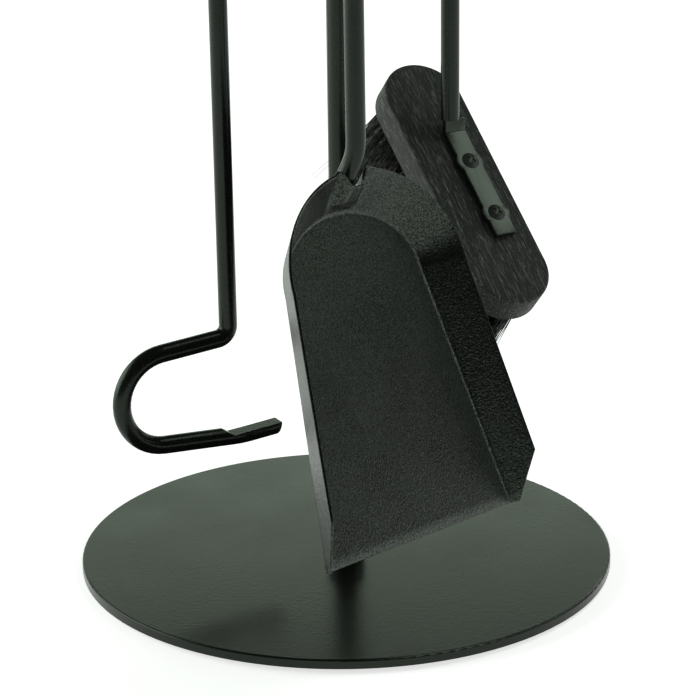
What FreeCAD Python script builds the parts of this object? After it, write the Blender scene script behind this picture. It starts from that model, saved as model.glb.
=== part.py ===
import FreeCAD, Part
import math
import os
import Sketcher

# Fireplace tool set: a stand with three hooks, a poker, a shovel and a brush.
# Frame: +Z up, origin on the floor at the post's axis, -Y towards the shovel. Lengths in mm.

Vector = FreeCAD.Vector
Rotation = FreeCAD.Rotation
Placement = FreeCAD.Placement
AXIS_X = Vector(1, 0, 0)
AXIS_Y = Vector(0, 1, 0)
AXIS_Z = Vector(0, 0, 1)
TOLERANCE = 1e-6

DIMENSIONS = {
    # stand
    "plate_diameter": 230,
    "plate_thickness": 4,
    "plate_edge": 0.8,
    "pad_diameter": 210,
    "pad_thickness": 2,
    "post_diameter": 11,
    "collar_diameter": 16,
    "collar_height": 14,
    "collar_edge": 1,
    "joint_height": 300,
    "post_top": 582,
    "stud_diameter": 6,
    "stud_length": 30,
    "bolt_length": 24,
    "bolt_head_diameter": 11,
    "bolt_head_height": 3,
    "socket_width": 4,
    "socket_depth": 2.4,
    "thread_clearance": 0.05,
    "hub_diameter": 26,
    "hub_height": 22,
    "hub_edge": 1.5,
    "hook_height": 566,
    "hook_diameter": 6,
    "hook_drop": 16,
    "hook_tip_rise": 11,
    "hook_bend": 8,
    "hook_socket_depth": 4,
    "hook_reach": 57,
    "first_bearing": -85,
    "bearing_step": 120,
    "cap_diameter": 18,
    "cap_height": 12,
    "ring_radius": 26,
    "ring_wire": 8,
    # all three tools
    "rod_diameter": 8,
    "loop_half_width": 17,
    "loop_length": 118,
    "loop_shoulder": 30,
    "loop_bend": 20,
    "loop_end_gap": 0.5,
    "loop_end_drop": 4,
    "hang_gap": 0.3,
    # poker
    "poker_lean": 1.5,
    "crook_height": 95.8,
    "crook_yaw": 29.6,
    "crook_slope": 4,
    "crook_radius": 20.95,
    "crook_reach": 52.2,
    "crook_corner": 5.6,
    "leg_length": 57.5,
    "tip_length": 20,
    "tip_lift": 8,
    "tip_bend_radius": 60,
    "tip_flat": 25,
    "tip_flat_height": 2,
    "tip_cut_reach": 5,
    "tip_cut_top": 1,
    # shovel
    "pan_yaw": 58.2,
    "pan_tilt": 22,
    "pan_roll": 7.6,
    "sheet": 1.2,
    "wall_height": 14.6,
    "floor_front_half": 67.4,
    "floor_back_half": 47.5,
    "rim_front_half": 78.2,
    "rim_back_half": 61.2,
    "back_start": 104.9,
    "floor_back_depth": 28.8,
    "rim_back_depth": 43.3,
    "front_setback": 19.1,
    "front_straight": 3.9,
    "shovel_bend_height": 198,
    "shovel_lean": 1,
    "shovel_foot_rise": 9,
    "shovel_foot_length": 17,
    "shovel_bend_radius": 24,
    "dent_offset": 2,
    "dent_half_width": 6.5,
    "dent_clearance": 0.3,
    "dent_lead": 10,
    "dent_length": 60,
    # brush
    "brush_foot_height": 188.9,
    "brush_lean": 2,
    "block_yaw": 30.7,
    "block_tilt": 47.9,
    "block_length": 124.5,
    "block_width": 36.7,
    "block_thickness": 13.6,
    "block_edge": 1,
    "bristle_length": 58,
    "bristle_inset": 6,
    "bristle_flare": 4,
    "soft_gap": 0.3,
    "strap_width": 10,
    "strap_thickness": 2.8,
    "strap_side": 4.5,
    "strap_low_end": 30,
    "strap_bend": 24,
    "strap_offset": 2,
    "strap_tab": 6,
    "strap_boss": 12.5,
    "screw_high": 7.8,
    "screw_low": -19.2,
    "screw_head": 8,
    "screw_head_height": 1.7,
    "screw_shank": 3.5,
    "screw_length": 14,
    "screw_head_land": 0.12,
    "screw_cross": 4.2,
    "screw_slot": 0.9,
    "screw_point": 3,
    "screw_point_radius": 0.3,
}

document = FreeCAD.newDocument("FireplaceTools")
sheet = document.addObject("Spreadsheet::Sheet", "Dimensions")
for row, (alias, number) in enumerate(DIMENSIONS.items(), start=1):
    sheet.set(f"A{row}", alias)
    sheet.set(f"B{row}", str(number))
    sheet.setAlias(f"B{row}", alias)
document.recompute()

sub_parts = []


def size(alias):
    """The value of one driving dimension."""
    return float(getattr(sheet, alias))


def bind(item, **expressions):
    """Bind properties of an object to the sheet; words that are aliases become sheet references."""
    for name, text in expressions.items():
        words = text.split(" ")
        linked = " ".join(f"Dimensions.{word}" if word in DIMENSIONS else word for word in words)
        item.setExpression(name.replace("__", "."), linked)
    return item


def finished(item, label):
    """Name an object as one sub-part of the set."""
    item.Label = label
    sub_parts.append(item)
    return item


def cylinder(name, diameter, height, z="0 mm"):
    """An upright cylinder on the post's axis, its lengths given as expressions."""
    item = document.addObject("Part::Cylinder", name)
    return bind(item, Radius=f"( {diameter} ) / 2", Height=height, Placement__Base__z=z)


def cut(name, base, *tools):
    """The base with every tool taken away."""
    for number, tool in enumerate(tools):
        step = document.addObject("Part::Cut", f"{name}_cut_{number}")
        step.Base = base
        step.Tool = tool
        base = step
    return base


def fuse(name, *pieces):
    """One solid from pieces that overlap."""
    item = document.addObject("Part::MultiFuse", name)
    item.Shapes = list(pieces)
    return item


def shaped(label, shape, placement=None):
    """A sub-part whose form is a bent wire or pressed sheet, made with Part's own functions."""
    item = document.addObject("Part::Feature", label)
    item.Shape = shape
    if placement is not None:
        item.Placement = placement
    return finished(item, label)


def bent_path(points, radii):
    """Straight runs through the points, with a tangent arc of the given radius at each inner point."""
    edges = []
    start = points[0]
    for before, corner, after, radius in zip(points, points[1:], points[2:], radii):
        inward = (before - corner).normalize()
        outward = (after - corner).normalize()
        half_angle = inward.getAngle(outward) / 2
        trim = radius / math.tan(half_angle)
        bisector = (inward + outward).normalize()
        first = corner + inward * trim
        last = corner + outward * trim
        middle = corner + bisector * (radius / math.sin(half_angle) - radius)
        if (first - start).Length > TOLERANCE:
            edges.append(Part.LineSegment(start, first).toShape())
        edges.append(Part.Arc(first, middle, last).toShape())
        start = last
    edges.append(Part.LineSegment(start, points[-1]).toShape())
    return Part.Wire(edges)


def bent_wire(points, radii, diameter):
    """A round wire or rod along a bent path."""
    path = bent_path(points, radii)
    profile = Part.Wire(Part.makeCircle(diameter / 2, points[0], points[1] - points[0]))
    return path.makePipeShell([profile], True, False)


def facing(yaw, tilt, roll=0):
    """Turn a piece drawn in its own XY plane so that its face looks to -Y, then tilt it up and yaw it."""
    turn = Rotation(AXIS_Z, yaw) * Rotation(AXIS_X, 90 - tilt)
    return turn * Rotation(AXIS_Z, -roll)


# ---------------------------------------------------------------- stand: base and post
def round_edge(name, base, height, radius):
    """Fillet the circular edges of a round object that lie at one height."""
    document.recompute()
    item = document.addObject("Part::Fillet", name)
    item.Base = base
    item.Edges = [
        (number, radius, radius)
        for number, edge in enumerate(base.Shape.Edges, start=1)
        if edge.isClosed()
        and abs(edge.BoundBox.ZMax - height) < TOLERANCE
        and edge.BoundBox.ZLength < TOLERANCE
    ]
    return item


THREAD_BORE = "stud_diameter + 2 * thread_clearance"
POST_BORE = "post_diameter + 2 * thread_clearance"
plate_top = size("pad_thickness") + size("plate_thickness")
plate_disc = cylinder("plate_disc", "plate_diameter", "plate_thickness", "pad_thickness")
plate_round = round_edge("plate_round", plate_disc, plate_top, size("plate_edge"))
plate_bore = cylinder("plate_bore", THREAD_BORE, "plate_thickness", "pad_thickness")
plate_sink = document.addObject("Part::Cone", "plate_sink")
bind(
    plate_sink,
    Radius1="bolt_head_diameter / 2 + thread_clearance",
    Radius2="stud_diameter / 2 + thread_clearance",
    Height="bolt_head_height",
    Placement__Base__z="pad_thickness",
)
finished(cut("plate", plate_round, plate_bore, plate_sink), "base_plate")

finished(cylinder("pad", "pad_diameter", "pad_thickness"), "base_pad")

bolt_head = document.addObject("Part::Cone", "bolt_head")
bind(
    bolt_head,
    Radius1="bolt_head_diameter / 2",
    Radius2="stud_diameter / 2",
    Height="bolt_head_height",
    Placement__Base__z="pad_thickness",
)
bolt_shank = cylinder("bolt_shank", "stud_diameter", "bolt_length", "pad_thickness")
bolt_socket = document.addObject("Part::Prism", "bolt_socket")
bolt_socket.Polygon = 6
bind(
    bolt_socket,
    Circumradius="socket_width / 2 / cos(30 deg)",
    Height="socket_depth",
    Placement__Base__z="pad_thickness",
)
finished(cut("bolt", fuse("bolt_blank", bolt_head, bolt_shank), bolt_socket), "base_bolt")

collar_ring = cylinder("collar_ring", "collar_diameter", "collar_height", "pad_thickness + plate_thickness")
collar_round = round_edge("collar_round", collar_ring, plate_top + size("collar_height"), size("collar_edge"))
collar_bore = cylinder("collar_bore", POST_BORE, "collar_height", "pad_thickness + plate_thickness")
finished(cut("collar", collar_round, collar_bore), "base_collar")

lower_bar = cylinder(
    "lower_bar",
    "post_diameter",
    "joint_height - pad_thickness - plate_thickness",
    "pad_thickness + plate_thickness",
)
lower_bolt_bore = cylinder("lower_bolt_bore", THREAD_BORE, "bolt_length", "pad_thickness")
lower_stud_bore = cylinder(
    "lower_stud_bore",
    THREAD_BORE,
    "stud_length / 2 + 1",
    "joint_height - stud_length / 2 - 1",
)
finished(cut("lower_section", lower_bar, lower_bolt_bore, lower_stud_bore), "lower_post")

finished(cylinder("stud", "stud_diameter", "stud_length", "joint_height - stud_length / 2"), "post_stud")

upper_bar = cylinder("upper_bar", "post_diameter", "post_top - joint_height", "joint_height")
upper_stud_bore = cylinder("upper_stud_bore", THREAD_BORE, "stud_length / 2 + 1", "joint_height")
upper_cap_bore = cylinder("upper_cap_bore", THREAD_BORE, "cap_height + 1", "post_top - cap_height - 1")
finished(cut("upper_section", upper_bar, upper_stud_bore, upper_cap_bore), "upper_post")


# ---------------------------------------------------------------- stand: carrying ring
ring = document.addObject("Part::Torus", "ring")
ring.Placement = Placement(Vector(0, 0, 0), Rotation(AXIS_X, 90))
RING_HEIGHT = "post_top + cap_height + ring_radius + ring_wire / 4"
bind(ring, Radius1="ring_radius", Radius2="ring_wire / 2", Placement__Base__z=RING_HEIGHT)
finished(ring, "carry_ring")

cap_head = cylinder("cap_head", "cap_diameter", "cap_height", "post_top")
cap_spigot = cylinder("cap_spigot", "stud_diameter", "2 * cap_height", "post_top - cap_height")
cap_seat = document.addObject("Part::Torus", "cap_seat")
cap_seat.Placement = ring.Placement
bind(cap_seat, Radius1="ring_radius", Radius2="ring_wire / 2", Placement__Base__z=RING_HEIGHT)
cap_blank = fuse("cap_blank", cap_head, cap_spigot)
finished(cut("cap", cap_blank, cap_seat), "post_cap")


# ---------------------------------------------------------------- places of the tools
# The three tools hang under their hooks, which stand a third of a turn apart. Each rod leans by a
# millimetre or two, as hand-bent rods do, and the shovel and the brush nearly touch.
rod = size("rod_diameter")
bearings = {
    tool: size("first_bearing") + size("bearing_step") * turn
    for turn, tool in enumerate(("shovel", "brush", "poker"))
}
tool_axes = {
    tool: Rotation(AXIS_Z, bearing).multVec(AXIS_X * size("hook_reach"))
    for tool, bearing in bearings.items()
}

# The shovel rod lies along the outside of the pan's back wall, which leans back from floor to rim.
pan_turn = facing(size("pan_yaw"), size("pan_tilt"), size("pan_roll"))
wall_run = size("rim_back_depth") - size("floor_back_depth")
wall_slope = Vector(0, wall_run, size("wall_height")).normalize()
wall_outward = Vector(0, wall_slope.z, -wall_slope.y)
wall_foot = Vector(0, size("back_start") + size("floor_back_depth"), 0)
dent_foot = wall_foot + wall_outward * size("dent_offset")
rod_foot_in_pan = dent_foot + wall_slope * size("shovel_foot_rise")
bend_in_pan = rod_foot_in_pan + wall_slope * size("shovel_foot_length")
shovel_bend = tool_axes["shovel"] + AXIS_Z * size("shovel_bend_height") + AXIS_X * size("shovel_lean")
pan_place = Placement(shovel_bend - pan_turn.multVec(bend_in_pan), pan_turn)
rod_foot = pan_place.multVec(rod_foot_in_pan)

# The brush rod stands on the strap's upright tab, a little to one side of the strap's middle.
block_turn = facing(size("block_yaw"), size("block_tilt"))
strap_middle = size("strap_thickness") / 2
strap_corner = Vector(size("strap_side") - size("strap_offset"), size("strap_bend"), strap_middle)
brush_foot = tool_axes["brush"] + AXIS_Z * size("brush_foot_height") + AXIS_Y * size("brush_lean")
tab_foot = brush_foot - AXIS_Z * size("strap_tab")
block_place = Placement(tab_foot - block_turn.multVec(strap_corner), block_turn)

hook_centre = size("hook_height") - size("hook_drop") + size("hook_bend") * math.sqrt(2)
hook_floor = hook_centre - size("hook_bend") + size("hook_diameter") / 2
loop_top = hook_floor + rod / 2 + size("hang_gap")


# ---------------------------------------------------------------- stand: hub and hooks
hub_bottom = "hook_height - hub_height / 2"
hub_disc = cylinder("hub_disc", "hub_diameter", "hub_height", hub_bottom)
hub_top = size("hook_height") + size("hub_height") / 2
hub_round = round_edge("hub_round", hub_disc, hub_top, size("hub_edge"))
hub_bore = cylinder("hub_bore", POST_BORE, "hub_height", hub_bottom)
hook_holes = []
hook_root = size("hub_diameter") / 2 - size("hook_socket_depth")
for tool, bearing in bearings.items():
    hole = document.addObject("Part::Cylinder", f"{tool}_hook_hole")
    bind(hole, Radius="hook_diameter / 2 + thread_clearance", Height="hub_diameter")
    outward = Rotation(AXIS_Z, bearing) * Rotation(AXIS_Y, 90)
    root = Rotation(AXIS_Z, bearing).multVec(Vector(hook_root, 0, size("hook_height")))
    hole.Placement = Placement(root, outward)
    hook_holes.append(hole)
finished(cut("hub", hub_round, hub_bore, *hook_holes), "hook_hub")


def hook():
    """A wire hook: level out of the hub, down at 45 degrees, then up again beyond the saddle."""
    reach = size("hook_reach")
    height = size("hook_height")
    drop = size("hook_drop")
    rise = size("hook_tip_rise")
    points = [
        Vector(hook_root, 0, height),
        Vector(reach - drop, 0, height),
        Vector(reach, 0, height - drop),
        Vector(reach + rise, 0, height - drop + rise),
    ]
    wire = bent_wire(points, [size("hook_bend")] * 2, size("hook_diameter"))
    tip = Part.makeSphere(size("hook_diameter") / 2, points[-1])
    return wire.fuse(tip).removeSplitter()


for tool, bearing in bearings.items():
    shaped(f"{tool}_hook", hook(), Placement(Vector(0, 0, 0), Rotation(AXIS_Z, bearing)))


# ---------------------------------------------------------------- rods of the tools
def loop_points(axis):
    """Centre line of a hanging loop, from its closed end round to the straight rod, and its bends."""
    across = Vector(-axis.y, axis.x, 0).normalize()
    half = size("loop_half_width")
    neck = loop_top - size("loop_length")
    shoulder = neck + size("loop_shoulder")
    bend = size("loop_bend")
    points = [
        axis + across * (rod + size("loop_end_gap")) + AXIS_Z * (neck - size("loop_end_drop")),
        axis + across * half + AXIS_Z * shoulder,
        axis + across * half + AXIS_Z * loop_top,
        axis - across * half + AXIS_Z * loop_top,
        axis - across * half + AXIS_Z * shoulder,
        axis + AXIS_Z * neck,
    ]
    return points, [bend, half, half, bend, bend]


def tool_rod(axis, lower_points, lower_radii):
    """A rod from its hanging loop down through the points at its working end."""
    points, radii = loop_points(axis)
    return bent_wire(points + lower_points, radii + lower_radii, rod)


# Poker: a tight corner, a level leg, a hairpin of two quarter bends and a longer leg to the tip.
slope = math.radians(size("crook_slope"))
yaw = math.radians(size("crook_yaw"))
crook_out = Vector(-math.cos(yaw), -math.sin(yaw), 0)
upper_leg = crook_out * math.cos(slope) - AXIS_Z * math.sin(slope)
lower_leg = crook_out * -math.cos(slope) - AXIS_Z * math.sin(slope)
quarter = size("crook_radius") * math.tan(math.radians(45) - slope / 2)
corner = tool_axes["poker"] + AXIS_X * size("poker_lean") + AXIS_Z * size("crook_height")
crook_top = corner + upper_leg * size("crook_reach")
crook_bottom = crook_top - AXIS_Z * 2 * quarter
leg_end = crook_bottom + lower_leg * size("leg_length")
side = lower_leg.cross(AXIS_Z).normalize()
tip_leg = Rotation(side, size("tip_lift")).multVec(lower_leg)
tip = leg_end + tip_leg * size("tip_length")
poker_points = [corner, crook_top, crook_bottom, leg_end, tip]
crook_radius = size("crook_radius")
poker_radii = [size("crook_corner"), crook_radius, crook_radius, size("tip_bend_radius")]
poker = tool_rod(tool_axes["poker"], poker_points, poker_radii)

# The tip's upper side is taken away as far as a slanting step, and its end is cut at an angle.
flat = size("tip_flat")
above = side.cross(tip_leg).normalize()
flat_level = above * size("tip_flat_height")
step_profile = [
    tip - tip_leg * flat + flat_level,
    tip + tip_leg * rod + flat_level,
    tip + tip_leg * rod + above * rod,
    tip - tip_leg * (flat + rod) + above * rod,
]
cut_reach = size("tip_cut_reach")
end_profile = [
    tip - tip_leg * cut_reach - above * rod,
    tip + tip_leg * cut_reach - above * rod,
    tip + tip_leg * cut_reach + above * rod,
    tip + tip_leg * size("tip_cut_top") + above * rod,
]


def prism(profile):
    """A straight-sided block across the poker tip, wider than the rod."""
    outline = [point - side * rod for point in profile]
    face = Part.Face(Part.makePolygon(outline + [outline[0]]))
    return face.extrude(side * 2 * rod)


shaped("poker_rod", poker.cut(prism(step_profile)).cut(prism(end_profile)))

shovel_points = [shovel_bend, rod_foot]
shaped("shovel_rod", tool_rod(tool_axes["shovel"], shovel_points, [size("shovel_bend_radius")]))

shaped("brush_rod", tool_rod(tool_axes["brush"], [brush_foot], []))


# ---------------------------------------------------------------- shovel pan
def pan_section(height, inset, forward):
    """Outline of the pan at a height above its floor: straight sides and an elliptical back."""
    share = height / size("wall_height")
    front_half = size("floor_front_half") * (1 - share) + size("rim_front_half") * share - inset
    back_half = size("floor_back_half") * (1 - share) + size("rim_back_half") * share - inset
    depth = size("floor_back_depth") * (1 - share) + size("rim_back_depth") * share - inset
    back = size("back_start")
    mouth_half = front_half + (front_half - back_half) * forward / back
    mouth_right = Vector(mouth_half, -forward, height)
    mouth_left = Vector(-mouth_half, -forward, height)
    side_right = Vector(back_half, back, height)
    side_left = Vector(-back_half, back, height)
    centre = Vector(0, back, height)
    crown = Vector(0, back + depth, height)
    if depth > back_half:
        ellipse = Part.Ellipse(crown, side_right, centre)
    else:
        ellipse = Part.Ellipse(side_right, crown, centre)
    right = ellipse.parameter(side_right)
    top = ellipse.parameter(crown)
    left = ellipse.parameter(side_left)
    return Part.Wire([
        Part.LineSegment(mouth_left, mouth_right).toShape(),
        Part.LineSegment(mouth_right, side_right).toShape(),
        Part.ArcOfEllipse(ellipse, right, top).toShape(),
        Part.ArcOfEllipse(ellipse, top, left).toShape(),
        Part.LineSegment(side_left, mouth_left).toShape(),
    ])


thickness = size("sheet")
wall = size("wall_height")
pan_outside = Part.makeLoft([pan_section(0, 0, 0), pan_section(wall, 0, 0)], True, True)
past_mouth = 20
past_rim = 5
hollow_floor = pan_section(thickness, thickness, past_mouth)
hollow_rim = pan_section(wall + past_rim, thickness, past_mouth)
hollow = Part.makeLoft([hollow_floor, hollow_rim], True, True)

# The front ends of the side walls slant back from a little above the floor to the rim.
past_edge = 1
slant_half = size("rim_front_half") + past_edge
slant_profile = [
    Vector(-slant_half, -past_edge, size("front_straight")),
    Vector(-slant_half, 0, size("front_straight")),
    Vector(-slant_half, size("front_setback"), wall),
    Vector(-slant_half, size("front_setback"), wall + past_edge),
    Vector(-slant_half, -past_edge, wall + past_edge),
]
slant = Part.Face(Part.makePolygon(slant_profile + [slant_profile[0]])).extrude(AXIS_X * 2 * slant_half)
pan_tray = pan_outside.cut(hollow).cut(slant)


# The back wall is pressed inwards behind the rod, as a half-oval dent from the rim to the floor.
dent_start = dent_foot - wall_slope * size("dent_lead")
dent_depth = rod / 2 + size("dent_clearance")
dent_half = size("dent_half_width")


def oval_bar(across, depth):
    """An oval bar that follows the outside of the back wall."""
    crown = dent_start + AXIS_X * across
    edge = Part.Ellipse(crown, dent_start + wall_outward * depth, dent_start).toShape()
    return Part.Face(Part.Wire(edge)).extrude(wall_slope * size("dent_length"))


rod_space = oval_bar(dent_half, dent_depth)
dent_outside = oval_bar(dent_half + thickness, dent_depth + thickness)
dent_wall = dent_outside.cut(rod_space).common(pan_outside)
pan_shape = pan_tray.cut(dent_outside).fuse(dent_wall).removeSplitter()
shaped("shovel_pan", pan_shape, pan_place)


# ---------------------------------------------------------------- brush block and bristles
def plane_of(body, role):
    """One of a body's own origin planes."""
    return next(plane for plane in body.Origin.OriginFeatures if plane.Role == role)


def stadium_sketch(body, name, width, length, height="0 mm"):
    """A round-ended outline, long way along Y, with its size bound to the sheet."""
    sketch = body.newObject("Sketcher::SketchObject", name)
    sketch.AttachmentSupport = [(plane_of(body, "XY_Plane"), "")]
    sketch.MapMode = "FlatFace"
    bind(sketch, AttachmentOffset__Base__z=height)
    drawn_radius = 10
    drawn_spacing = 40
    drawn_x = AXIS_X * drawn_radius
    drawn_y = AXIS_Y * drawn_spacing / 2
    upper = Part.Circle(drawn_y, AXIS_Z, drawn_radius)
    lower = Part.Circle(drawn_y * -1, AXIS_Z, drawn_radius)
    sketch.addGeometry(Part.ArcOfCircle(upper, 0, math.pi), False)
    sketch.addGeometry(Part.LineSegment(drawn_y - drawn_x, drawn_y * -1 - drawn_x), False)
    sketch.addGeometry(Part.ArcOfCircle(lower, math.pi, 2 * math.pi), False)
    sketch.addGeometry(Part.LineSegment(drawn_x - drawn_y, drawn_x + drawn_y), False)
    for curve in range(4):
        sketch.addConstraint(Sketcher.Constraint("Tangent", curve, 2, (curve + 1) % 4, 1))
    sketch.addConstraint(Sketcher.Constraint("Vertical", 1))
    sketch.addConstraint(Sketcher.Constraint("PointOnObject", 0, 3, -2))
    sketch.addConstraint(Sketcher.Constraint("Symmetric", 0, 3, 2, 3, -1, 1))
    half_width = sketch.addConstraint(Sketcher.Constraint("Radius", 0, drawn_radius))
    spacing = sketch.addConstraint(Sketcher.Constraint("DistanceY", 2, 3, 0, 3, drawn_spacing))
    bind(sketch, **{f"Constraints[{half_width}]": f"( {width} ) / 2"})
    bind(sketch, **{f"Constraints[{spacing}]": f"( {length} ) - ( {width} )"})
    return sketch


block = document.addObject("PartDesign::Body", "block")
block_outline = stadium_sketch(block, "block_outline", "block_width", "block_length")
block_pad = block.newObject("PartDesign::Pad", "block_pad")
block_pad.Profile = block_outline
block_pad.Reversed = True
bind(block_pad, Length="block_thickness")
document.recompute()
block_edges = [
    f"Edge{number}"
    for number, edge in enumerate(block_pad.Shape.Edges, start=1)
    if edge.BoundBox.ZLength < TOLERANCE
]
block_round = block.newObject("PartDesign::Fillet", "block_round")
block_round.Base = (block_pad, block_edges)
bind(block_round, Radius="block_edge")
pilot_sketch = block.newObject("Sketcher::SketchObject", "pilot_holes")
pilot_sketch.AttachmentSupport = [(plane_of(block, "XY_Plane"), "")]
pilot_sketch.MapMode = "FlatFace"
shank_radius = size("screw_shank") / 2
pilot_across = size("strap_side")
for row, place in enumerate(("screw_high", "screw_low")):
    circle = Part.Circle(Vector(pilot_across, size(place), 0), AXIS_Z, shank_radius)
    pilot_sketch.addGeometry(circle, False)
    hole_radius = pilot_sketch.addConstraint(Sketcher.Constraint("Radius", row, shank_radius))
    across = pilot_sketch.addConstraint(Sketcher.Constraint("DistanceX", -1, 1, row, 3, pilot_across))
    along = pilot_sketch.addConstraint(Sketcher.Constraint("DistanceY", -1, 1, row, 3, size(place)))
    bind(pilot_sketch, **{f"Constraints[{hole_radius}]": "screw_shank / 2 + thread_clearance"})
    bind(pilot_sketch, **{f"Constraints[{across}]": "strap_side", f"Constraints[{along}]": place})
pilot_holes = block.newObject("PartDesign::Pocket", "pilot_pocket")
pilot_holes.Profile = pilot_sketch
bind(pilot_holes, Length="screw_length - strap_thickness + 1")
block.Placement = block_place
finished(block, "brush_block")

bristles = document.addObject("PartDesign::Body", "bristle_bundle")
root_depth = "- block_thickness - soft_gap"
tip_depth = "- block_thickness - bristle_length"
root_outline = stadium_sketch(
    bristles,
    "bristle_roots",
    "block_width - 2 * bristle_inset",
    "block_length - 2 * bristle_inset",
    root_depth,
)
tip_outline = stadium_sketch(
    bristles,
    "bristle_tips",
    "block_width - 2 * bristle_inset + 2 * bristle_flare",
    "block_length - 2 * bristle_inset + 2 * bristle_flare",
    tip_depth,
)
bundle = bristles.newObject("PartDesign::AdditiveLoft", "bristle_loft")
bundle.Profile = root_outline
bundle.Sections = [tip_outline]
bristles.Placement = block_place
finished(bristles, "bristles")


# ---------------------------------------------------------------- brush strap and screws
# Side view of the strap in the block's Y and Z: flat along the block, then upright along the rod.
tilt = math.radians(size("block_tilt"))
strap_half = size("strap_width") / 2
strap_high = size("strap_thickness")
up_side = Vector(0, math.cos(tilt), math.sin(tilt))
face_side = Vector(0, -math.sin(tilt), math.cos(tilt))
corner_middle = Vector(0, size("strap_bend"), strap_middle)
corner_shift = strap_middle * math.tan(tilt / 2)
inner_corner = corner_middle + Vector(0, -corner_shift, strap_middle)
outer_corner = corner_middle + Vector(0, corner_shift, -strap_middle)
tab_end = corner_middle + up_side * size("strap_tab")
strap_outline = [
    Vector(0, -size("strap_low_end"), 0),
    outer_corner,
    tab_end - face_side * strap_middle,
    tab_end + face_side * strap_middle,
    inner_corner,
    Vector(0, -size("strap_low_end"), strap_high),
]
strap_side_face = Part.Face(Part.makePolygon(strap_outline + [strap_outline[0]]))
strap = strap_side_face.extrude(AXIS_X * size("strap_width"))
strap.translate(AXIS_X * (size("strap_side") - strap_half))
screw_places = {
    "brush_screw_upper": Vector(size("strap_side"), size("screw_high"), 0),
    "brush_screw_lower": Vector(size("strap_side"), size("screw_low"), 0),
}
for place in screw_places.values():
    strap = strap.fuse(Part.makeCylinder(size("strap_boss") / 2, strap_high, place))
for place in screw_places.values():
    hole_radius = shank_radius + size("thread_clearance")
    strap = strap.cut(Part.makeCylinder(hole_radius, strap_high, place))
shaped("brush_strap", strap.removeSplitter(), block_place)


def screw():
    """A domed cross-head wood screw, its head's underside at the origin and its shank along -Z."""
    head_radius = size("screw_head") / 2
    head_height = size("screw_head_height")
    dome_radius = (head_radius ** 2 + head_height ** 2) / (2 * head_height)
    dome = Part.makeSphere(dome_radius, Vector(0, 0, head_height - dome_radius))
    head = dome.common(Part.makeCylinder(head_radius - size("screw_head_land"), head_height))
    point = size("screw_point")
    straight = size("screw_length") - point
    point_radius = size("screw_point_radius")
    downward = AXIS_Z * -1
    shank = Part.makeCylinder(shank_radius, straight, Vector(0, 0, 0), downward)
    tip_cone = Part.makeCone(shank_radius, point_radius, point, downward * straight, downward)
    shape = head.fuse(shank).fuse(tip_cone)
    cross = size("screw_cross")
    slot_size = size("screw_slot")
    slot_corner = Vector(-cross / 2, -slot_size / 2, head_height - slot_size)
    for turn in (45, 135):
        slot = Part.makeBox(cross, slot_size, slot_size, slot_corner)
        slot.rotate(Vector(0, 0, 0), AXIS_Z, turn)
        shape = shape.cut(slot)
    return shape.removeSplitter()


for label, place in screw_places.items():
    shaped(label, screw(), block_place.multiply(Placement(place + AXIS_Z * strap_high, Rotation())))


# ---------------------------------------------------------------- check and export
document.recompute()
for item in document.Objects:
    if "Invalid" in item.State or "Error" in item.State:
        raise RuntimeError(f"{item.Name} failed: {item.State}")
for item in sub_parts:
    if item.Shape.isNull() or not item.Shape.isValid():
        raise RuntimeError(f"{item.Label} has no valid shape")

os.makedirs("parts", exist_ok=True)
for item in sub_parts:
    item.Shape.exportStep(f"parts/{item.Label}.step")
    box = item.Shape.BoundBox
    solids = len(item.Shape.Solids)
    volume = item.Shape.Volume
    print(f"{item.Label:20s} {solids} solid, {volume:10.0f} mm3, z {box.ZMin:.1f} to {box.ZMax:.1f}")
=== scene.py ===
import math
import random

import bmesh
import bpy
from mathutils import Euler, Matrix, Vector


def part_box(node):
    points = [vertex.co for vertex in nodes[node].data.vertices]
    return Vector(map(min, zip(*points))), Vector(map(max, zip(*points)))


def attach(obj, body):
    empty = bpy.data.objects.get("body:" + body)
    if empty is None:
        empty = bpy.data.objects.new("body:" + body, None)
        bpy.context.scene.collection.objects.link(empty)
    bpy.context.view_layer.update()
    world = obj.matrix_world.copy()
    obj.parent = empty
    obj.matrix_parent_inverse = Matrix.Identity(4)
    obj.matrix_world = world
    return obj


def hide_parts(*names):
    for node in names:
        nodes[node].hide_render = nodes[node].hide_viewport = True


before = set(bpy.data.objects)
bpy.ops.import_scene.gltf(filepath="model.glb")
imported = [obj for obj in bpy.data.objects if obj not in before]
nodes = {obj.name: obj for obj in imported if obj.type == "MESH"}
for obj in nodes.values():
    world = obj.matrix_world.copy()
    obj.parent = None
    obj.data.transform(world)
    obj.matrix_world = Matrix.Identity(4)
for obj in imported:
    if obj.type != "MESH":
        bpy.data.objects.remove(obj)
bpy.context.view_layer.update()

# Fireplace tool set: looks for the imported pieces, a finer pan, strap and bristles, and a white studio.
# Lengths are in millimetres, scaled by MM, except in the studio section, which is in metres.
MM = 0.001
bpy.context.scene.view_settings.view_transform = "Standard"


# ---------------------------------------------------------------- camera
CAMERA_PLACE = Vector((1.83, -1090.2, 468.3)) * MM
CAMERA_SENSOR = 36
CAMERA_LENS = 139.66
CAMERA_CLIP_START = 50 * MM
CAMERA_PITCH = math.radians(18.77)
CAMERA_ROLL = math.radians(-0.71)


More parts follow.
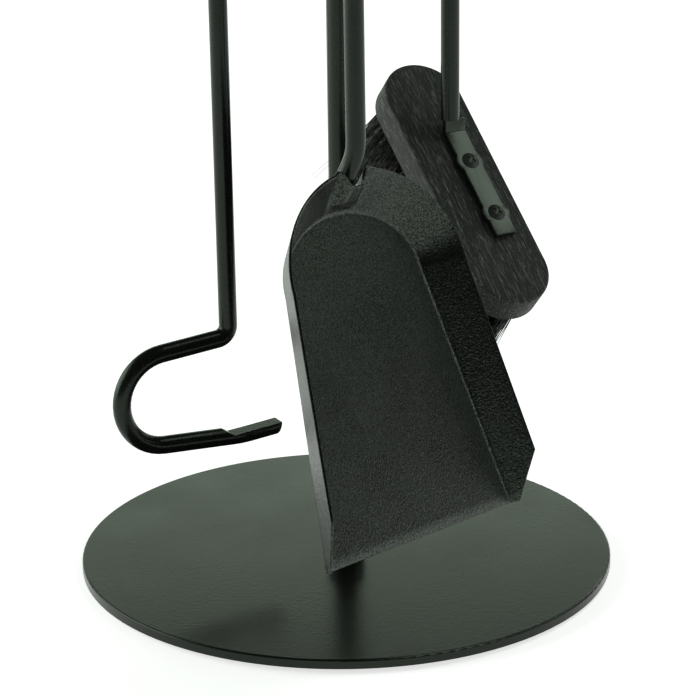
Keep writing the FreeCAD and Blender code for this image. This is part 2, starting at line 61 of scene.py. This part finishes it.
def add_camera():
    """A view from the front and a little above, looking down at the base."""
    camera_data = bpy.data.cameras.new("camera")
    camera = bpy.data.objects.new("camera", camera_data)
    bpy.context.scene.collection.objects.link(camera)
    camera_data.sensor_width = CAMERA_SENSOR
    camera_data.lens = CAMERA_LENS
    camera_data.clip_start = CAMERA_CLIP_START
    forward = Vector((0, math.cos(CAMERA_PITCH), -math.sin(CAMERA_PITCH)))
    level = Vector((1, 0, 0))
    above = level.cross(forward)
    right = level * math.cos(CAMERA_ROLL) + above * math.sin(CAMERA_ROLL)
    up = above * math.cos(CAMERA_ROLL) - level * math.sin(CAMERA_ROLL)
    turn = Matrix((right, up, -forward)).transposed()
    camera.matrix_world = Matrix.Translation(CAMERA_PLACE) @ turn.to_4x4()
    bpy.context.scene.camera = camera


add_camera()


# ---------------------------------------------------------------- shader helpers
def new_material(name, colour, roughness):
    """A material with its Principled shader set, its node tree and that shader."""
    material = bpy.data.materials.new(name)
    material.use_nodes = True
    shader = material.node_tree.nodes["Principled BSDF"]
    shader.inputs["Base Color"].default_value = (*colour, 1)
    shader.inputs["Roughness"].default_value = roughness
    return material, material.node_tree, shader


def add_node(tree, kind, inputs=None, **settings):
    """A shader node with its settings and its inputs: values are set, sockets are linked."""
    node = tree.nodes.new(kind)
    for key, value in settings.items():
        setattr(node, key, value)
    for key, value in (inputs or {}).items():
        if isinstance(value, bpy.types.NodeSocket):
            tree.links.new(value, node.inputs[key])
        else:
            node.inputs[key].default_value = value
    return node


def place_on(tree, turn=None, stretch=(1, 1, 1)):
    """Coordinates fixed to the object, turned into a piece's own axes and stretched along them."""
    coordinate = add_node(tree, "ShaderNodeTexCoord").outputs["Object"]
    if turn is not None:
        rotate = Euler(turn.transposed().to_euler())
        turn_inputs = {"Vector": coordinate, "Rotation": rotate}
        coordinate = add_node(tree, "ShaderNodeMapping", turn_inputs).outputs[0]
    stretch_inputs = {"Vector": coordinate, "Scale": stretch}
    return add_node(tree, "ShaderNodeMapping", stretch_inputs).outputs[0]


def noise(tree, where, scale, detail=2.0, rough=0.5):
    """A noise value at the given coordinates."""
    inputs = {"Vector": where, "Scale": scale, "Detail": detail, "Roughness": rough}
    return add_node(tree, "ShaderNodeTexNoise", inputs).outputs["Fac"]


def spread(tree, value, low, high, start=0.0, end=1.0):
    """Map a value from one range to another, clamped."""
    inputs = {"Value": value, "From Min": low, "From Max": high, "To Min": start, "To Max": end}
    return add_node(tree, "ShaderNodeMapRange", inputs).outputs["Result"]


def mix_colours(tree, share, first, second):
    """Blend two colours, each a tuple or a socket, by a share that is a socket."""
    factor_input, first_input, second_input, colour_output = 0, 6, 7, 2
    node = add_node(tree, "ShaderNodeMix", data_type="RGBA")
    tree.links.new(share, node.inputs[factor_input])
    for index, colour in ((first_input, first), (second_input, second)):
        if isinstance(colour, bpy.types.NodeSocket):
            tree.links.new(colour, node.inputs[index])
        else:
            node.inputs[index].default_value = (*colour, 1)
    return node.outputs[colour_output]


def add_bump(tree, shader, height, strength, distance, under=None):
    """Bump the shader's normal by a height value, on top of an earlier bump if one is given."""
    inputs = {"Height": height, "Strength": strength, "Distance": distance}
    if under is not None:
        inputs["Normal"] = under
    bump = add_node(tree, "ShaderNodeBump", inputs)
    tree.links.new(bump.outputs[0], shader.inputs["Normal"])
    return bump.outputs[0]


# ---------------------------------------------------------------- materials
CLOUD_SCALE = 28
DARKEST_CLOUD = 0.72
PAINT_TINT = (0.86, 1.0, 0.86, 1)
STAIN_DARK = (0.006, 0.0065, 0.006)
STAIN_LIGHT = (0.014, 0.0155, 0.014)
RUBBED_GREY = (0.2, 0.215, 0.2)
HAIR_BLACK = (0.001, 0.001, 0.001)
HAIR_GREY = (0.22, 0.23, 0.22)
FOAM_CELL = (0.012, 0.012, 0.012)
FOAM_WALL = (0.04, 0.04, 0.04)


def powder_coat(
    name, colour, roughness, speck_gain, orange_peel, shine=0.3, speck_scale=900, sparkle=0.0
):
    """Satin black powder paint: a fine orange peel, paler specks and slightly uneven gloss."""
    material, tree, shader = new_material(name, colour, roughness)
    where = place_on(tree)
    specks = noise(tree, where, speck_scale, 3.0, 0.75)
    cloud = noise(tree, where, CLOUD_SCALE, 3.0)
    pale = tuple(min(1, channel * speck_gain) for channel in colour)
    dark = tuple(channel * DARKEST_CLOUD for channel in colour)
    speckled = mix_colours(tree, spread(tree, specks, 0.5, 0.72), colour, pale)
    clouded = mix_colours(tree, spread(tree, cloud, 0.3, 0.7, 0.0, 0.35), speckled, dark)
    tree.links.new(clouded, shader.inputs["Base Color"])
    uneven = spread(tree, cloud, 0.25, 0.75, roughness - 0.04, roughness + 0.05)
    tree.links.new(uneven, shader.inputs["Roughness"])
    peel = noise(tree, where, speck_scale * 0.7, 1.0)
    waves = add_bump(tree, shader, peel, orange_peel, 0.3 * MM)
    add_bump(tree, shader, specks, orange_peel * 0.6, 0.1 * MM, waves)
    glints = spread(tree, specks, 0.4, 0.62, shine * (1 - sparkle), shine * (1 + sparkle))
    tree.links.new(glints, shader.inputs["Specular IOR Level"])
    shader.inputs["Specular Tint"].default_value = PAINT_TINT
    return material


def stained_wood(turn):
    """Black-stained wood: open grain along the block, its ridges rubbed grey, its pores sunk."""
    material, tree, shader = new_material("stained_wood", (0.02, 0.021, 0.02), 0.62)
    along = place_on(tree, turn, (1, 0.08, 1))
    long_grain = noise(tree, along, 1700, 5.0, 0.8)
    pores = noise(tree, place_on(tree, turn, (1, 0.06, 1)), 2100, 2.0, 0.6)
    bands = noise(tree, place_on(tree, turn, (1, 0.12, 1)), 90, 3.0)
    stain = mix_colours(tree, spread(tree, bands, 0.3, 0.7), STAIN_DARK, STAIN_LIGHT)
    ridge_share = spread(tree, long_grain, 0.53, 0.64, 0.0, 0.95)
    rubbed = mix_colours(tree, ridge_share, stain, RUBBED_GREY)
    tree.links.new(rubbed, shader.inputs["Base Color"])
    rough = spread(tree, long_grain, 0.3, 0.7, 0.7, 0.5)
    tree.links.new(rough, shader.inputs["Roughness"])
    shader.inputs["Specular IOR Level"].default_value = 0.5
    ridges = add_bump(tree, shader, long_grain, 0.9, 1.0 * MM)
    add_bump(tree, shader, pores, 0.5, 0.3 * MM, ridges)
    return material


def bristle_fibre(turn):
    """Black bristle, nearly matt, with a few greyer hairs."""
    material, tree, shader = new_material("bristle_fibre", (0.006, 0.006, 0.0055), 0.45)
    where = place_on(tree, turn, (1, 1, 0.04))
    tone = noise(tree, where, 2400, 1.0)
    hairs = mix_colours(tree, spread(tree, tone, 0.57, 0.66), HAIR_BLACK, HAIR_GREY)
    tree.links.new(hairs, shader.inputs["Base Color"])
    tree.links.new(spread(tree, tone, 0.3, 0.7, 0.5, 0.32), shader.inputs["Roughness"])
    shader.inputs["Specular IOR Level"].default_value = 0.15
    return material


def metal(name, colour, roughness, metallic, scale, depth):
    """Plated or blackened steel with fine marks and a cloudy finish."""
    material, tree, shader = new_material(name, colour, roughness)
    shader.inputs["Metallic"].default_value = metallic
    where = place_on(tree)
    cloud = noise(tree, where, scale, 4.0, 0.6)
    dull = tuple(channel * 0.6 for channel in colour)
    finish = mix_colours(tree, spread(tree, cloud, 0.35, 0.7), dull, colour)
    tree.links.new(finish, shader.inputs["Base Color"])
    uneven = spread(tree, cloud, 0.3, 0.7, roughness + 0.08, roughness - 0.06)
    tree.links.new(uneven, shader.inputs["Roughness"])
    add_bump(tree, shader, noise(tree, where, scale * 4, 2.0), depth, 0.2 * MM)
    return material


def foam():
    """Closed-cell foam: matt, dark and finely pitted."""
    material, tree, shader = new_material("base_foam", (0.022, 0.022, 0.022), 0.95)
    where = place_on(tree)
    cell_inputs = {"Vector": where, "Scale": 1300.0}
    cells = add_node(tree, "ShaderNodeTexVoronoi", cell_inputs).outputs["Distance"]
    tones = mix_colours(tree, spread(tree, cells, 0.1, 0.7), FOAM_CELL, FOAM_WALL)
    tree.links.new(tones, shader.inputs["Base Color"])
    add_bump(tree, shader, cells, 0.7, 0.3 * MM)
    return material


def turned(yaw, tilt, roll=0.0):
    """Turn a piece drawn in its own XY plane to face -Y, tilt it up and yaw it, as the CAD model does."""
    yaw_turn = Matrix.Rotation(math.radians(yaw), 3, "Z")
    tilt_turn = Matrix.Rotation(math.radians(90 - tilt), 3, "X")
    return yaw_turn @ tilt_turn @ Matrix.Rotation(math.radians(-roll), 3, "Z")


BLOCK_TURN = turned(yaw=30.7, tilt=47.9)
PAN_TURN = turned(yaw=58.2, tilt=22, roll=7.6)
COAT = (0.0050, 0.0056, 0.0049)
SHEET_COAT = (0.0016, 0.0018, 0.0016)
tube_coat = powder_coat("tube_coat", COAT, 0.24, speck_gain=2.6, orange_peel=0.16)
plate_coat = powder_coat("plate_coat", COAT, 0.24, speck_gain=2.6, orange_peel=0.12)
sheet_coat = powder_coat(
    "sheet_coat",
    SHEET_COAT,
    0.27,
    speck_gain=2.0,
    orange_peel=0.4,
    shine=0.5,
    speck_scale=1500,
    sparkle=0.75,
)
strap_coat = powder_coat("strap_coat", COAT, 0.24, speck_gain=2.6, orange_peel=0.16, shine=0.42)
wood = stained_wood(BLOCK_TURN)
fibre = bristle_fibre(BLOCK_TURN)
screw_steel = metal("screw_steel", (0.035, 0.038, 0.035), 0.42, metallic=0.3, scale=260, depth=0.2)
zinc = metal("zinc_steel", (0.62, 0.63, 0.62), 0.32, metallic=1.0, scale=420, depth=0.15)
foam_pad = foam()

FINISHES = {
    "base_plate": plate_coat,
    "base_pad": foam_pad,
    "base_bolt": zinc,
    "post_stud": zinc,
    "brush_block": wood,
    "brush_screw_upper": screw_steel,
    "brush_screw_lower": screw_steel,
}
for name, node in nodes.items():
    node.data.materials.clear()
    node.data.materials.append(FINISHES.get(name, tube_coat))


# ---------------------------------------------------------------- mesh helpers
def add_mesh(name, points, faces, material, smooth=True):
    """A new mesh object from points in metres."""
    mesh = bpy.data.meshes.new(name)
    mesh.from_pydata([tuple(point) for point in points], [], faces)
    mesh.validate()
    mesh.materials.append(material)
    mesh.polygons.foreach_set("use_smooth", [smooth] * len(mesh.polygons))
    piece = bpy.data.objects.new(name, mesh)
    bpy.context.scene.collection.objects.link(piece)
    return piece


def apply_modifiers(piece):
    """Turn an object's modifiers into plain mesh."""
    bpy.context.view_layer.update()
    graph = bpy.context.evaluated_depsgraph_get()
    final = bpy.data.meshes.new_from_object(piece.evaluated_get(graph))
    piece.modifiers.clear()
    piece.data = final


def smoothstep(value):
    """0 below 0, 1 above 1 and a smooth rise between."""
    value = min(1.0, max(0.0, value))
    return value * value * (3 - 2 * value)


def lerp(first, second, share):
    """The number at a share of the way from the first to the second."""
    return first + (second - first) * share


# ---------------------------------------------------------------- shovel pan
# Half widths, depths and heights as in the CAD model; the bends and the dent are finer here.
FLOOR_FRONT = 67.4
FLOOR_BACK = 47.5
RIM_FRONT = 78.2
RIM_BACK = 61.2
BACK_START = 104.9
FLOOR_DEPTH = 28.8
RIM_DEPTH = 43.3
WALL = 14.6
SHEET = 1.2
SETBACK = 19.1
STRAIGHT = 3.9
BEND_TRIM = 2.4
DENT_LEFT = 10.5
DENT_RIGHT = 7.5
DENT_FLAT = 0.4
DENT_DEPTH = 4.0
DENT_FADE_START = 0.08
DENT_FADE_RUN = 0.32
LEFT_FOLD = 1.2
LEFT_FOLD_GAP = 0.5
LEFT_FOLD_WIDTH = 1.8
RIGHT_FOLD = 0.7
RIGHT_FOLD_GAP = 2
RIGHT_FOLD_WIDTH = 2.4
FOLD_FULL_HEIGHT = 0.7
RIM_DROP = 0.26
RIM_DROP_SHIFT = 1
FLOOR_SHARES = (0, 0.2, 0.4, 0.6, 0.75, 0.87, 0.95)
BEND_STEPS = 6
WALL_STEPS = 10
MOUTH_STEPS = 5
SIDE_STEPS = 48
BACK_STEPS = 168
PAN_MERGE = 0.02
PAN_EDGE = 0.35
PAN_EDGE_ANGLE = math.radians(55)


def pan_outline(side, along):
    """Floor point, rim point, share of the wall's height and spine point at one station."""
    if side:
        y = BACK_START * along
        floor = Vector((side * lerp(FLOOR_FRONT, FLOOR_BACK, along), y, 0))
        rim = Vector((side * lerp(RIM_FRONT, RIM_BACK, along), y, WALL))
        reach = min(1.0, lerp(STRAIGHT, WALL, y / SETBACK) / WALL)
        return floor, rim, reach, Vector((0, y, 0))
    angle = math.pi * along
    floor = Vector((FLOOR_BACK * math.cos(angle), BACK_START + FLOOR_DEPTH * math.sin(angle), 0))
    rim = Vector((RIM_BACK * math.cos(angle), BACK_START + RIM_DEPTH * math.sin(angle), WALL))
    return floor, rim, 1.0, Vector((0, BACK_START, 0))


def dent_share(x):
    """The dent's profile across the back wall: flat at its middle, steeper on its right side."""
    across = x / DENT_RIGHT if x > 0 else x / DENT_LEFT
    return 1 - smoothstep((abs(across) - DENT_FLAT) / (1 - DENT_FLAT))


def dent_shift(point, share):
    """Shift of a back-wall point pressed in behind the rod, with a low fold on each side of the dent."""
    if point.y < BACK_START:
        return Vector((0, 0, 0))
    inward = Vector((0, -WALL, RIM_DEPTH - FLOOR_DEPTH)).normalized()
    fade = smoothstep((share - DENT_FADE_START) / DENT_FADE_RUN)
    left_offset = (point.x + DENT_LEFT + LEFT_FOLD_GAP) / LEFT_FOLD_WIDTH
    right_offset = (point.x - DENT_RIGHT - RIGHT_FOLD_GAP) / RIGHT_FOLD_WIDTH
    folds = LEFT_FOLD * math.exp(-left_offset ** 2) + RIGHT_FOLD * math.exp(-right_offset ** 2)
    fold = folds * smoothstep(share / FOLD_FULL_HEIGHT)
    return inward * (DENT_DEPTH * dent_share(point.x) * fade - fold)


def pan_section(station):
    """Points from the floor's spine over the bend and up the wall to the rim."""
    floor, rim, reach, spine = station
    wall_line = (rim - floor).normalized()
    inward = (spine - floor).normalized()
    wall_length = (rim - floor).length
    top = reach
    if floor.y > BACK_START:
        top = 1.0 - RIM_DROP * dent_share(rim.x - RIM_DROP_SHIFT)
    first = floor + inward * BEND_TRIM
    points = [spine.lerp(first, share) for share in FLOOR_SHARES]
    for step in range(BEND_STEPS + 1):
        share = step / BEND_STEPS
        inner = first.lerp(floor, share)
        outer = floor.lerp(floor + wall_line * BEND_TRIM, share)
        points.append(inner.lerp(outer, share))
    start = BEND_TRIM / wall_length
    for step in range(1, WALL_STEPS + 1):
        points.append(floor.lerp(rim, lerp(start, top, step / WALL_STEPS)))
    heights = [(point - floor).dot(wall_line) / wall_length for point in points]
    return [point + dent_shift(point, height) for point, height in zip(points, heights)]


def pan_stations():
    """The pan's outline from the right side's front end round the back to the left side's."""
    slanted = SETBACK / BACK_START
    front = [slanted * step / (MOUTH_STEPS - 1) for step in range(MOUTH_STEPS)]
    rest = [lerp(slanted, 1, step / SIDE_STEPS) for step in range(1, SIDE_STEPS)]
    stations = [pan_outline(1, along) for along in front + rest]
    stations += [pan_outline(0, step / BACK_STEPS) for step in range(BACK_STEPS + 1)]
    return stations + [pan_outline(-1, along) for along in reversed(front + rest)]


def pan_origin(stations):
    """Where the pan's own origin lies, from the CAD pan's box."""
    edges = [
        PAN_TURN @ floor.lerp(rim, share)
        for floor, rim, reach, _ in stations
        for share in (0, reach)
    ]
    lows = [min(edge[axis] for edge in edges) for axis in range(3)]
    highs = [max(edge[axis] for edge in edges) for axis in range(3)]
    middle = [(low + high) / 2 for low, high in zip(lows, highs)]
    low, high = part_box("shovel_pan")
    return (low + high) / 2 - Vector(middle) * MM


def make_pan():
    """The shovel pan as one bent sheet: flat floor, rounded bends, flaring walls and the rod's dent."""
    stations = pan_stations()
    sections = [pan_section(station) for station in stations]
    row = len(sections[0])
    points = [point for section in sections for point in section]
    faces = []
    for column in range(len(sections) - 1):
        for step in range(row - 1):
            corner = column * row + step
            faces.append((corner, corner + 1, corner + row + 1, corner + row))
    origin = pan_origin(stations)
    placed = [origin + PAN_TURN @ point * MM for point in points]
    pan = add_mesh("shovel_pan_sheet", placed, faces, sheet_coat)
    work = bmesh.new()
    work.from_mesh(pan.data)
    bmesh.ops.remove_doubles(work, verts=work.verts, dist=PAN_MERGE * MM)
    bmesh.ops.recalc_face_normals(work, faces=work.faces)
    inside = PAN_TURN @ Vector((0, 0, 1))
    if sum(face.normal.dot(inside) * face.calc_area() for face in work.faces) < 0:
        bmesh.ops.reverse_faces(work, faces=work.faces)
    work.to_mesh(pan.data)
    work.free()
    solid = pan.modifiers.new("sheet", "SOLIDIFY")
    solid.thickness = SHEET * MM
    solid.offset = 1
    solid.use_even_offset = True
    edge = pan.modifiers.new("edge", "BEVEL")
    edge.width = PAN_EDGE * MM
    edge.segments = 2
    edge.limit_method = "ANGLE"
    edge.angle_limit = PAN_EDGE_ANGLE
    apply_modifiers(pan)
    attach(pan, "shovel")
    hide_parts("shovel_pan")


make_pan()


# ---------------------------------------------------------------- eased edges
EASE_MERGE = 0.005
EASE_FLAT_ANGLE = math.radians(1)
EASE_ANGLE = math.radians(32)
STRAP_EDGE = 0.45


def ease_edges(name, body, material, width):
    """A copy of a sharp-edged CAD piece with its edges slightly rounded, as stamped steel is."""
    mesh = nodes[name].data.copy()
    piece = bpy.data.objects.new(f"{name}_eased", mesh)
    bpy.context.scene.collection.objects.link(piece)
    mesh.materials.clear()
    mesh.materials.append(material)
    work = bmesh.new()
    work.from_mesh(mesh)
    bmesh.ops.remove_doubles(work, verts=work.verts, dist=EASE_MERGE * MM)
    bmesh.ops.dissolve_limit(
        work, angle_limit=EASE_FLAT_ANGLE, verts=work.verts, edges=work.edges
    )
    work.to_mesh(mesh)
    work.free()
    mesh.polygons.foreach_set("use_smooth", [True] * len(mesh.polygons))
    edge = piece.modifiers.new("edge", "BEVEL")
    edge.width = width * MM
    edge.segments = 3
    edge.limit_method = "ANGLE"
    edge.angle_limit = EASE_ANGLE
    edge.harden_normals = True
    apply_modifiers(piece)
    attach(piece, body)
    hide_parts(name)


ease_edges("brush_strap", "brush", strap_coat, STRAP_EDGE)


# ---------------------------------------------------------------- bristles
# Drawn in the block's own axes, as in the CAD model: Y along the block, Z out of its upper face.
BLOCK_HALF_WIDTH = 18.35
BLOCK_HALF_LENGTH = 62.25
BLOCK_THICKNESS = 13.6
TUFT_PITCH = 6.2
TUFT_INSET = 5.5
TUFT_RADIUS = 2.4
HAIRS_PER_TUFT = 76
HAIR_LENGTH = 57.5
HAIR_RADIUS = 0.19
HAIR_ROOT_DEPTH = 0.8
HAIR_STEPS = 4
HAIR_TAPER = 0.55
LENGTH_SPREAD = 2.6
ROW_LEAN = 0.09 / 12.4
UPPER_FLARE = 0.075 / 55
LOWER_FLARE = -0.035 / 55
TUFT_FLARE = 0.022
DIRECTION_SPREAD = 0.018
BEND_SPREAD = 1.1
STRAY_HAIRS = 26
STRAY_X = -10.5
STRAY_Y_RANGE = (5, 52)
STRAY_OUTWARD = (0.1, 0.36)
STRAY_SIDEWAYS = (-0.08, 0.08)
STRAY_BEND_OUTWARD = (0, 4)
STRAY_BEND_SIDEWAYS = (-4, 3)
STRAY_LENGTH_SPREAD = 8
HAIR_SEED = 7


def add_hair(points, faces, root, direction, length, bend, radius):
    """One tapering three-sided hair that curves gently from its root to its tip."""
    side = direction.cross(Vector((0.3, 1, 0.2))).normalized()
    other = direction.cross(side)
    first = len(points)
    for step in range(HAIR_STEPS + 1):
        share = step / HAIR_STEPS
        centre = root + direction * length * share + bend * share * share
        width = radius * (1 - HAIR_TAPER * share)
        for corner in range(3):
            angle = 2 * math.pi * corner / 3
            points.append(centre + (side * math.cos(angle) + other * math.sin(angle)) * width)
    for step in range(HAIR_STEPS):
        for corner in range(3):
            low = first + step * 3
            after = (corner + 1) % 3
            faces.append((low + corner, low + after, low + 3 + after, low + 3 + corner))
    end = first + HAIR_STEPS * 3
    faces.append((end, end + 1, end + 2))
    faces.append((first + 2, first + 1, first))


def make_bristles():
    """Tufts of black hair set in the block's lower face, flaring outwards, with a few strays."""
    draw = random.Random(HAIR_SEED)
    points = []
    faces = []
    straight = BLOCK_HALF_LENGTH - BLOCK_HALF_WIDTH
    root_level = HAIR_ROOT_DEPTH - BLOCK_THICKNESS
    rows = range(-2, 3)
    columns = range(-9, 10)
    for row in rows:
        for column in columns:
            x = row * TUFT_PITCH
            y = (column + 0.5 * (row % 2)) * TUFT_PITCH
            beyond = max(0.0, abs(y) - straight)
            if math.hypot(x, beyond) > BLOCK_HALF_WIDTH - TUFT_INSET:
                continue
            flare = UPPER_FLARE if y > 0 else LOWER_FLARE
            lean = Vector((x * ROW_LEAN, y * flare, -1))
            for _ in range(HAIRS_PER_TUFT):
                angle = draw.uniform(0, 2 * math.pi)
                reach = TUFT_RADIUS * math.sqrt(draw.random())
                offset = Vector((math.cos(angle), math.sin(angle), 0)) * reach
                root = Vector((x, y, root_level)) + offset
                direction = lean + offset * TUFT_FLARE
                direction += Vector((draw.gauss(0, DIRECTION_SPREAD), draw.gauss(0, DIRECTION_SPREAD), 0))
                bend = Vector((draw.gauss(0, BEND_SPREAD), draw.gauss(0, BEND_SPREAD), 0))
                length = HAIR_LENGTH + draw.uniform(-LENGTH_SPREAD, 0)
                add_hair(points, faces, root, direction.normalized(), length, bend, HAIR_RADIUS)
    for _ in range(STRAY_HAIRS):
        root = Vector((STRAY_X, draw.uniform(*STRAY_Y_RANGE), root_level))
        direction = Vector((-draw.uniform(*STRAY_OUTWARD), draw.uniform(*STRAY_SIDEWAYS), -1))
        bend = Vector((-draw.uniform(*STRAY_BEND_OUTWARD), draw.uniform(*STRAY_BEND_SIDEWAYS), 0))
        length = HAIR_LENGTH + draw.uniform(-STRAY_LENGTH_SPREAD, 0)
        add_hair(points, faces, root, direction.normalized(), length, bend, HAIR_RADIUS)
    low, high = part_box("brush_block")
    centre = (low + high) / 2 + BLOCK_TURN @ Vector((0, 0, BLOCK_THICKNESS / 2)) * MM
    placed = [centre + BLOCK_TURN @ point * MM for point in points]
    hair = add_mesh("bristle_tufts", placed, faces, fibre)
    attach(hair, "brush")
    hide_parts("bristles")


make_bristles()


# ---------------------------------------------------------------- studio
FLOOR_HALF = 6.0
FLOOR_ALBEDO = (0.92, 0.92, 0.92)
FLOOR_GLOW = 0.7
WORLD_STRENGTH = 0.06
LIGHT_TARGET = (0, 0, 0.2)
# Name, place, width and height, power in watts, colour.
PANELS = (
    ("back_panel", (-0.2, 2.4, 0.64), (3.4, 0.85), 11.5, (0.82, 1.0, 0.80)),
    ("left_panel", (-2.2, 0.4, 0.9), (2.4, 1.6), 40, (0.88, 1.0, 0.87)),
    ("top_panel", (1.3, 0.3, 2.2), (1.2, 1.2), 13, (0.9, 1.0, 0.9)),
    ("right_panel", (2.3, 1.0, 1.15), (2.4, 1.2), 6.5, (0.88, 1.0, 0.88)),
    ("front_right_panel", (2.3, -0.7, 0.6), (0.7, 1.0), 5, (0.9, 1.0, 0.9)),
)


def add_area(name, place, size, power, colour):
    """A panel light that faces the set and isn't seen by the camera itself."""
    data = bpy.data.lights.new(name, "AREA")
    data.shape = "RECTANGLE"
    data.size, data.size_y = size
    data.energy = power
    data.color = colour
    lamp = bpy.data.objects.new(name, data)
    bpy.context.scene.collection.objects.link(lamp)
    lamp.location = place
    lamp.rotation_euler = (Vector(LIGHT_TARGET) - Vector(place)).to_track_quat("-Z", "Y").to_euler()
    lamp.visible_camera = False


def add_floor():
    """A wide pale floor, lit from within a little so that it stays white to its edges."""
    half = FLOOR_HALF
    corners = [(-half, -half, 0), (half, -half, 0), (half, half, 0), (-half, half, 0)]
    material, _, shader = new_material("floor", FLOOR_ALBEDO, 0.9)
    shader.inputs["Emission Color"].default_value = (1, 1, 1, 1)
    shader.inputs["Emission Strength"].default_value = FLOOR_GLOW
    floor = add_mesh("floor", corners, [(0, 1, 2, 3)], material, False)


world = bpy.data.worlds.new("world")
bpy.context.scene.world = world
world.use_nodes = True
background = world.node_tree.nodes["Background"]
background.inputs["Color"].default_value = (1, 1, 1, 1)
background.inputs["Strength"].default_value = WORLD_STRENGTH
add_floor()
for panel in PANELS:
    add_area(*panel)
